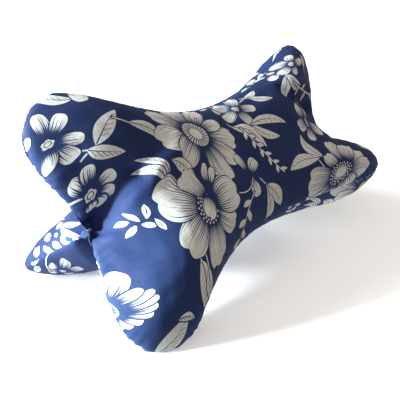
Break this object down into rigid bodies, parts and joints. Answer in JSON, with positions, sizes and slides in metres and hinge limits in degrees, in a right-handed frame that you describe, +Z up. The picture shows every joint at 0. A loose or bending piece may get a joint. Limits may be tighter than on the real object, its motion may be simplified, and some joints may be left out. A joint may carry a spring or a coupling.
{
  "type": "neck pillow",
  "caption": "Bone-shaped neck pillow of navy floral cotton: a round waist between rounded ears, three at each end, standing on three of them.",
  "frame": {"origin": "centre of the pillow's footprint, on the surface that it stands on", "axes": "+X along the pillow, from its near end to its far end; +Z up"},
  "size_m": [0.4322, 0.2206, 0.208],
  "materials": {
    "cotton": "plain-woven cotton, navy with a cream floral print, matte"
  },
  "bodies": {
    "root": {"pillow": "cotton"}
  },
  "joints": []
}
